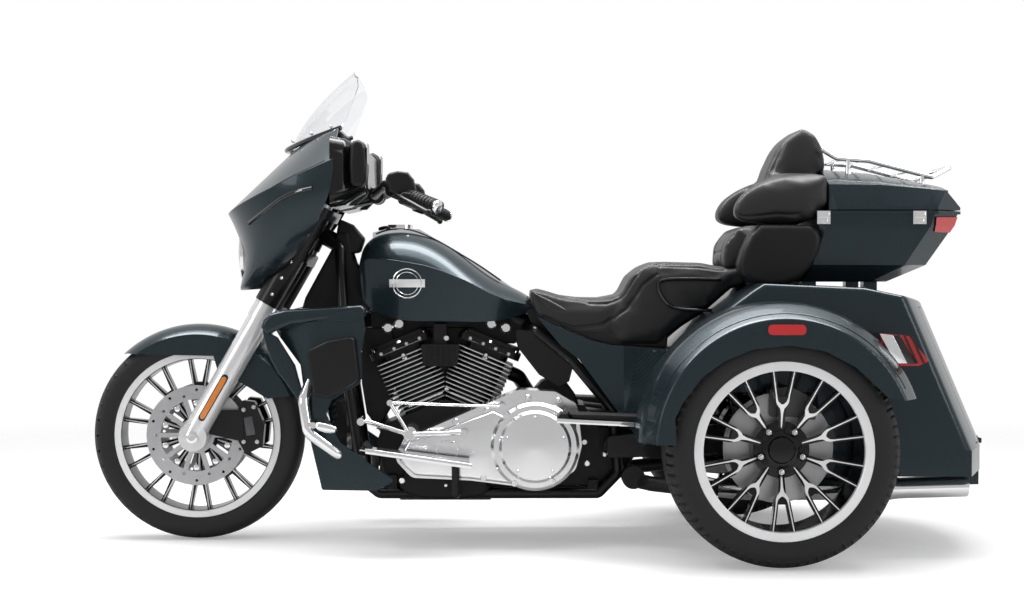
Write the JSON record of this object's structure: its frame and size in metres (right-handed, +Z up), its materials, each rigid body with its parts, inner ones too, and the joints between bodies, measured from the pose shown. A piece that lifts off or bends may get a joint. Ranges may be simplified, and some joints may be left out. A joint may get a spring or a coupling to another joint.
{
  "type": "motorized trike",
  "caption": "Touring trike with a steered front wheel, finned V-twin engine, batwing-shaped fairing, lidded trunk between the rear wheels and a top box with passenger backrest.",
  "frame": {"origin": "on the ground, under the middle of the vehicle's length and width", "axes": "+X forward, +Y to the rider's left, +Z up"},
  "size_m": [2.66, 1.398, 1.403],
  "materials": {
    "body_paint": "gloss metallic graphite-teal paint",
    "black_frame": "satin black powder coat",
    "black_case": "black wrinkle coat on cast cases",
    "cylinder_black": "black cast cylinders with cut fin edges",
    "polished_cover": "polished chrome covers",
    "chrome": "bright chrome plate",
    "exhaust_black": "black ceramic-coated pipe",
    "rim_black": "gloss black cast wheel with machined edges",
    "disc_steel": "ground stainless braking ring",
    "caliper": "black caliper",
    "caliper_grey": "silver-grey caliper",
    "tyre": "black tyre rubber",
    "seat_leather": "black grained seat cover",
    "trim_plastic": "textured black plastic",
    "grip_rubber": "ribbed black rubber",
    "clear_shield": "clear polycarbonate",
    "lamp_red": "transparent red lens",
    "lamp_clear": "clear lens over a bright reflector"
  },
  "bodies": {
    "chassis": {"fuel_tank": "body_paint", "side_covers": "body_paint", "trunk_body": "body_paint", "rear_fenders": "body_paint", "top_box_base": "body_paint", "lower_fairings": "body_paint", "frame": "black_frame", "rear_axle": "black_frame", "shock_absorbers": "black_frame", "oil_cooler": "black_frame", "crankcase": "black_case", "transmission": "black_case", "air_cleaner": "black_case", "cylinders": "cylinder_black", "primary_cover": "polished_cover", "tank_console": "polished_cover", "engine_guard": "chrome", "box_latches": "chrome", "mufflers": "chrome", "foot_controls": "chrome", "exhaust_pipes": "exhaust_black", "rear_calipers": "caliper_grey", "seat": "seat_leather", "passenger_pad": "seat_leather", "glove_boxes": "trim_plastic", "speaker_pods": "trim_plastic", "coil_cover": "trim_plastic", "footboards": "trim_plastic", "lamps": "lamp_red"},
    "steering": {"fork_crowns": "black_frame", "fork_legs": "chrome", "front_fender": "body_paint", "front_calipers": "caliper", "fairing": "body_paint", "inner_fairing": "trim_plastic", "windshield": "clear_shield", "headlamp": "lamp_clear", "handlebar": "black_frame", "hand_grips": "grip_rubber", "mirrors": "trim_plastic"},
    "front_wheel": {"front_rim": "rim_black", "front_tyre": "tyre", "front_discs": "disc_steel"},
    "rear_wheel_left": {"rear_rim_left": "rim_black", "rear_tyre_left": "tyre", "rear_disc_left": "disc_steel"},
    "rear_wheel_right": {"rear_rim_right": "rim_black", "rear_tyre_right": "tyre", "rear_disc_right": "disc_steel"},
    "trunk_door": {"trunk_door": "body_paint"},
    "top_box_lid": {"top_box_lid": "body_paint", "luggage_rack": "chrome", "backrest": "seat_leather"}
  },
  "joints": [
    {"name": "steering_turn", "type": "hinge", "parent": "chassis", "child": "steering", "pos_m": [0.67204, 0, 0.9], "axis": [-0.4384, 0, 0.8988], "range_deg": [-30, 30]},
    {"name": "front_wheel_spin", "type": "hinge", "parent": "steering", "child": "front_wheel", "pos_m": [1.012, 0, 0.318], "axis": [0, 1, 0], "continuous": true},
    {"name": "rear_wheel_left_spin", "type": "hinge", "parent": "chassis", "child": "rear_wheel_left", "pos_m": [-0.666, 0.56, 0.323], "axis": [0, 1, 0], "continuous": true},
    {"name": "rear_wheel_right_spin", "type": "hinge", "parent": "chassis", "child": "rear_wheel_right", "pos_m": [-0.666, -0.56, 0.323], "axis": [0, 1, 0], "continuous": true},
    {"name": "trunk_door_hinge", "type": "hinge", "parent": "chassis", "child": "trunk_door", "pos_m": [-1.322, 0, 0.312], "axis": [0, -1, 0], "range_deg": [0, 90]},
    {"name": "top_box_lid_hinge", "type": "hinge", "parent": "chassis", "child": "top_box_lid", "pos_m": [-1, -0.296, 0.9865], "axis": [1, 0, 0], "range_deg": [0, 75]}
  ]
}
